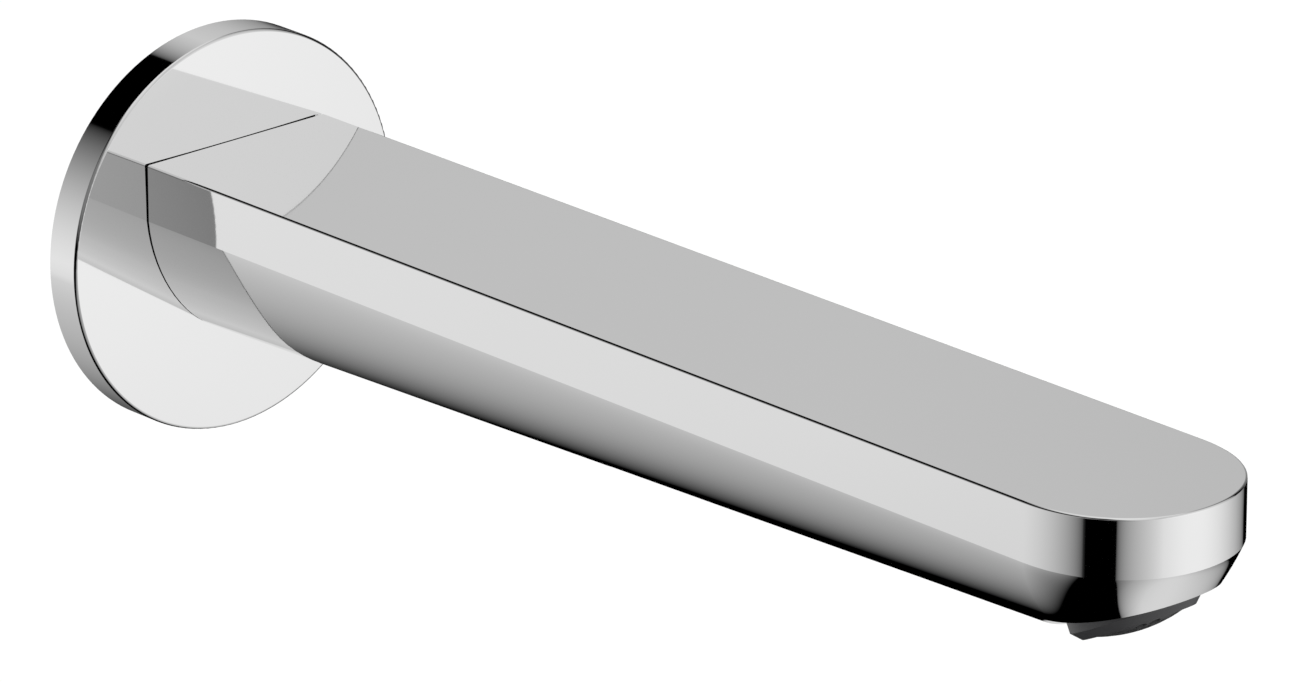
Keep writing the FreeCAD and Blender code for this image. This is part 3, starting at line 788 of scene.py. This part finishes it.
moulded = {
    "grey_plastic": ((0.032, 0.032, 0.034), (0.042, 0.042, 0.044), 0.42, 3500.0),
    "white_plastic": ((0.76, 0.76, 0.74), (0.82, 0.82, 0.80), 0.40, 3500.0),
    "seal_rubber": ((0.022, 0.022, 0.024), (0.032, 0.032, 0.034), 0.55, 5000.0),
    "foam_seal": ((0.055, 0.055, 0.06), (0.11, 0.11, 0.115), 0.85, 1500.0),
}
for name, (dark, light, roughness, fineness) in moulded.items():
    finishes[name], tree, shader = new_finish(name)
    mottle(tree, shader, moulded_clouds, dark, light, roughness, moulded_swing)
    grain = use_group(tree, clouds_group, Place=object_place(tree), Scale=fineness)["Cover"]
    relief(tree, shader, grain, grain_strength, grain_distance)
print("moulded finishes:", ", ".join(moulded))

# %% [markdown]
# ## The thread
#
# The nipple carries a half inch pipe thread, and its solid is plain there. The thread is a ridge that climbs
# one pitch in each turn round the axis, so the place along the axis less the turn says how high the ridge
# stands. It is raised only on the part of the nipple that goes into the wall.

# %% Thread
thread_pitch = 0.001814
thread_depth = 0.00116
thread_floor = 0.0098
half_pitch = 0.5
full_turn = 2 * math.pi


def thread_height(tree):
    here = object_place(tree)
    x, y, z = split(tree, here)
    turns = number(tree, "DIVIDE", number(tree, "ARCTAN2", z, y), full_turn)
    climb = number(tree, "DIVIDE", x, thread_pitch)
    share = number(tree, "FRACT", number(tree, "SUBTRACT", climb, turns))
    ridge = number(tree, "ABSOLUTE", number(tree, "SUBTRACT", share, half_pitch))
    distance = vector(tree, "LENGTH", vector(tree, "MULTIPLY", here, (0.0, 1.0, 1.0)))
    outside = number(tree, "GREATER_THAN", distance, thread_floor)
    in_wall = number(tree, "LESS_THAN", x, 0.0)
    return number(tree, "MULTIPLY", ridge, number(tree, "MULTIPLY", outside, in_wall))


print("thread pitch", thread_pitch)

# %% [markdown]
# ## The rings of a turning tool
#
# A turned piece carries fine rings round its axis. Straight waves along the axis, bent a little, look like
# them on every side of the piece.

# %% Rings group
ring_unevenness = 0.4

rings_group, given, result = new_group(
    "Turned rings", {"Place": "VECTOR", "Scale": "FLOAT"}, {"Height": "FLOAT"}
)
wave = add_node(rings_group, "ShaderNodeTexWave", wave_type="BANDS", bands_direction="X")
wave.inputs["Distortion"].default_value = ring_unevenness
join(rings_group, given["Place"], wave.inputs["Vector"])
join(rings_group, given["Scale"], wave.inputs["Scale"])
join(rings_group, wave.outputs["Fac"], result["Height"])
print("made group", rings_group.name)

# %% [markdown]
# ## Brass and steel
#
# The nipple is brass, turned and threaded. The locking screw and the screens are plain steel. Each metal is a
# dark tone, a light tone, a roughness and the fineness of its rings. On the brass the rings lie over the
# thread. The height of its ridge runs from 0 to a half, so the distance of its relief is twice its depth.

# %% Brass and steel
metal_clouds = 160.0
metal_swing = 0.2
ring_strength = 0.15
ring_distance = 0.00003
thread_strength = 1.0
thread_distance = 2 * thread_depth

metals = {
    "brass": ((0.66, 0.48, 0.22), (0.74, 0.56, 0.28), 0.28, 900.0),
    "screw_steel": ((0.50, 0.50, 0.51), (0.60, 0.60, 0.61), 0.32, 1200.0),
}
for name, (dark, light, roughness, fineness) in metals.items():
    finishes[name], tree, shader = new_finish(name, Metallic=1.0)
    mottle(tree, shader, metal_clouds, dark, light, roughness, metal_swing)
    thread = None
    if name == "brass":
        thread = relief(tree, shader, thread_height(tree), thread_strength, thread_distance)
    rings = use_group(tree, rings_group, Place=object_place(tree), Scale=fineness)["Height"]
    relief(tree, shader, rings, ring_strength, ring_distance, thread)
print("metals:", ", ".join(metals))

# %% [markdown]
# ## Dress every solid
#
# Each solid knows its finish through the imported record, so a loop can hand out the materials.

# %% Hand out the finishes
slots = {part["node"]: part["material_slot"] for part in frame["record"]["subparts"]}
for node_name, solid in nodes.items():
    for slot in solid.material_slots:
        slot.material = finishes[slots[node_name]]
print("dressed", len(slots), "solids")
